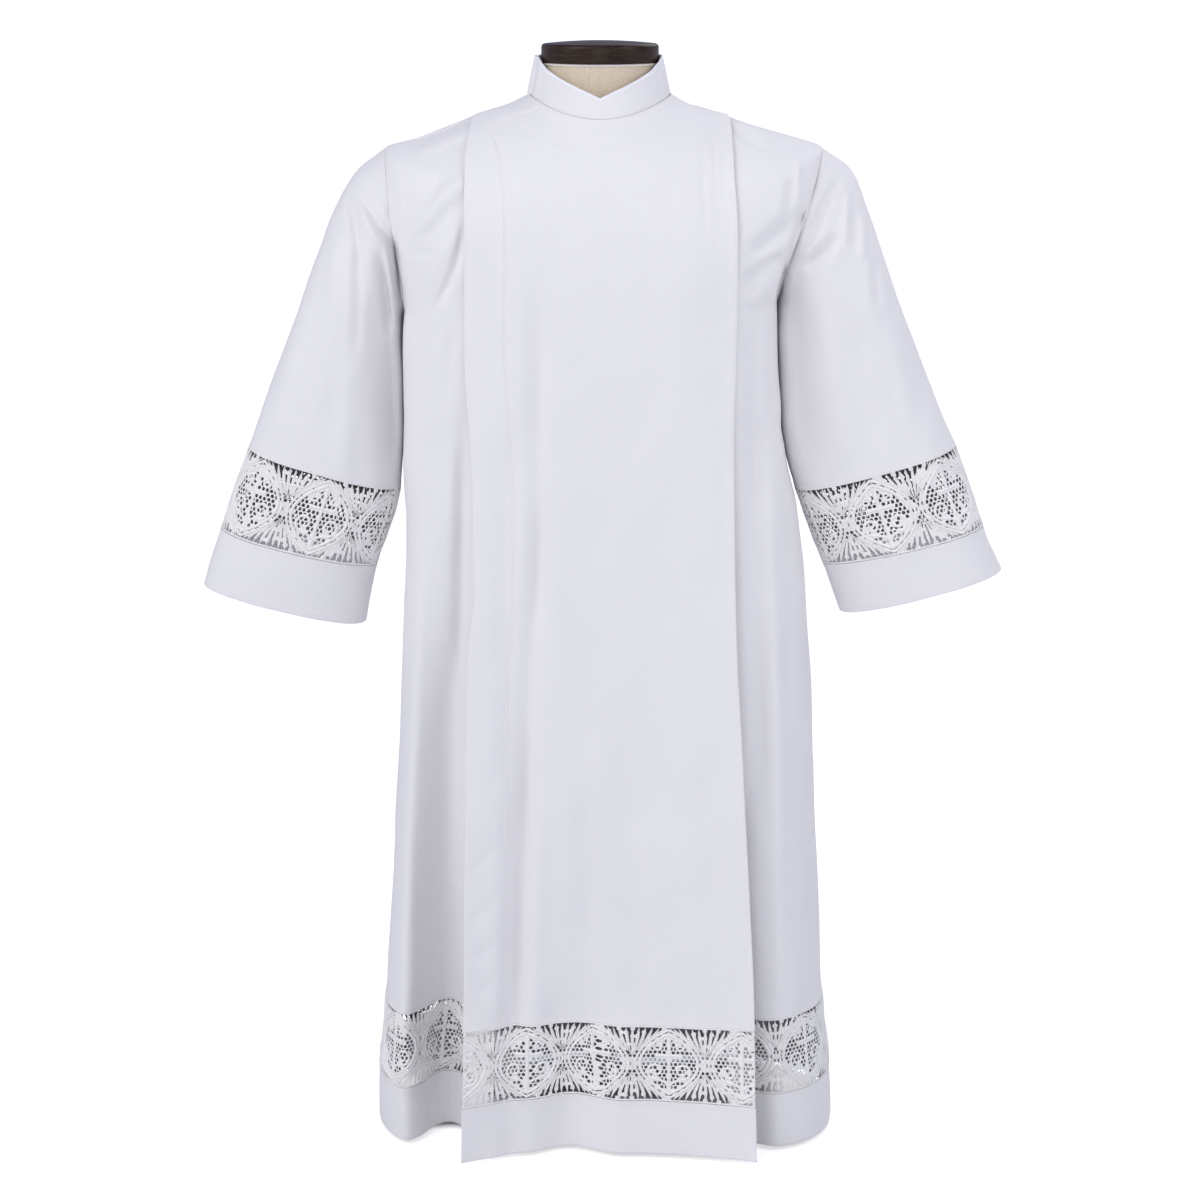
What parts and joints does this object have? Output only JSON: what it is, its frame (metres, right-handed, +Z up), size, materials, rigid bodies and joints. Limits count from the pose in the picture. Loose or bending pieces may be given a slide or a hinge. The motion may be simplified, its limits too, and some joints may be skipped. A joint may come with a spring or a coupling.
{
  "type": "alb on a dress form",
  "caption": "Knee-length white alb with a wide lap front, a standing collar and bands of lace, worn by a limbless dress form on a low stand.",
  "frame": {"origin": "centre of the stand's underside, on the surface that it stands on", "axes": "+Z up, -Y the front of the garment, +X the wearer's left"},
  "size_m": [0.859, 0.3033, 1.179],
  "materials": {
    "cloth": "smooth pressed poly-cotton",
    "lace": "corded cotton lace",
    "linen": "unbleached linen cover",
    "wood": "dark satin varnish",
    "steel": "satin"
  },
  "bodies": {
    "root": {"back": "cloth", "lap": "cloth", "side_front_right": "cloth", "side_front_left": "cloth", "hem_back": "cloth", "hem_lap": "cloth", "hem_side_front_right": "cloth", "hem_side_front_left": "cloth", "sleeve_right": "cloth", "sleeve_left": "cloth", "cuff_right": "cloth", "cuff_left": "cloth", "collar": "cloth", "lace_back": "lace", "lace_lap": "lace", "lace_side_front_right": "lace", "lace_side_front_left": "lace", "lace_sleeve_right_front": "lace", "lace_sleeve_right_back": "lace", "lace_sleeve_left_front": "lace", "lace_sleeve_left_back": "lace", "form_torso": "linen", "form_cap": "wood", "form_flange": "steel", "form_pole": "steel", "form_base": "steel"}
  },
  "joints": []
}
